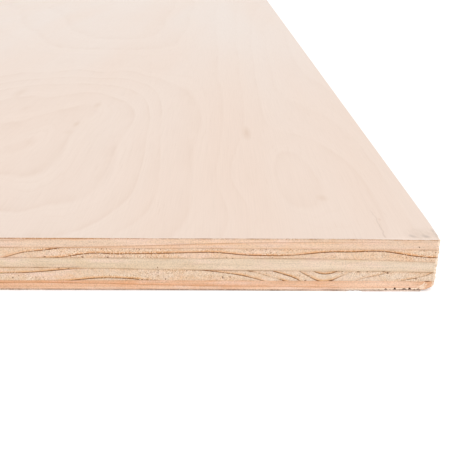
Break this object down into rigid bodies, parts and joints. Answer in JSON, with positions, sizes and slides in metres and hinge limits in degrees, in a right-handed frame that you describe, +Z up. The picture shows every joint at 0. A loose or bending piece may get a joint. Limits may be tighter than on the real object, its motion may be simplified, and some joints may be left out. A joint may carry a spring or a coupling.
{
  "type": "plywood sheet",
  "caption": "Flat rectangular plywood sheet: thin birch face and back veneers over cross-laminated softwood plies, with one knocked corner; panel stock for building and cabinet work.",
  "frame": {"origin": "middle of the back face, on the surface that the sheet lies on", "axes": "+Y along the length of the sheet and the face grain, +X along its width, +Z up out of the sanded face"},
  "size_m": [1.22, 2.44, 0.0182],
  "materials": {
    "birch_face": "sanded bare birch veneer, satin",
    "softwood_crossband": "sawn softwood, long grain on the ends and end grain on the long edges",
    "softwood_long_ply": "sawn softwood, end grain on the ends and long grain on the long edges",
    "red_softwood_crossband": "sawn reddish softwood",
    "birch_back": "bare birch veneer, browner than the face"
  },
  "bodies": {
    "root": {"face_veneer": "birch_face", "upper_crossband": "softwood_crossband", "upper_long_ply": "softwood_long_ply", "centre_crossband": "softwood_crossband", "lower_long_ply": "softwood_long_ply", "lower_crossband": "red_softwood_crossband", "back_veneer": "birch_back"}
  },
  "joints": []
}
